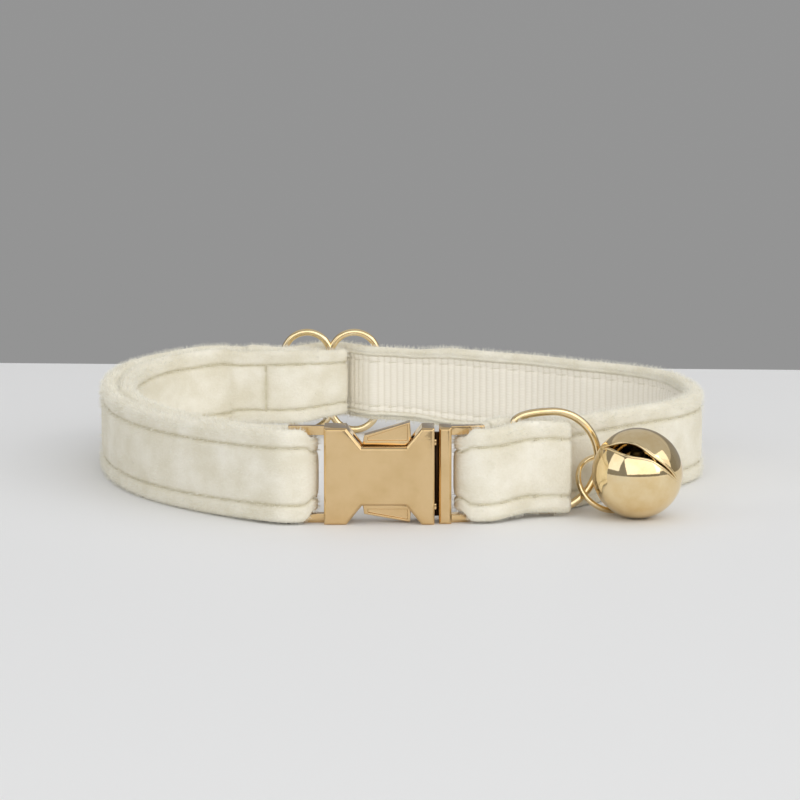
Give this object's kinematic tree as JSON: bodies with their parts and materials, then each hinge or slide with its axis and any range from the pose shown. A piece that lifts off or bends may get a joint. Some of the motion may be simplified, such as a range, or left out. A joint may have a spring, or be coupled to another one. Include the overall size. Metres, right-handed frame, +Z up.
{
  "type": "pet collar with bell",
  "caption": "Fastened cream velvet pet collar with ribbed webbing lining, light gold side release buckle, D ring, round bell and ring adjuster.",
  "frame": {"origin": "middle of the footprint, on the surface that the collar stands on", "axes": "+X to the right along the buckle, +Y from the buckle's front across the neck hollow to the adjuster, +Z up the width of the strap"},
  "size_m": [0.0884, 0.0864, 0.0166],
  "materials": {
    "velvet": "short pile velvet, cream",
    "webbing": "ribbed woven webbing, cream",
    "light_gold": "polished light gold plating",
    "yellow_gold": "mirror polished yellow gold plating",
    "steel": "plain steel ball"
  },
  "bodies": {
    "root": {"velvet_strap": "velvet", "webbing_strap": "webbing", "ring_tab": "velvet", "buckle_socket": "light_gold", "buckle_plug": "light_gold", "upper_release_lever": "light_gold", "lower_release_lever": "light_gold", "adjuster_slide": "yellow_gold", "d_ring": "yellow_gold", "bell": "yellow_gold", "bell_jump_ring": "yellow_gold", "bell_pellet": "steel"}
  },
  "joints": []
}
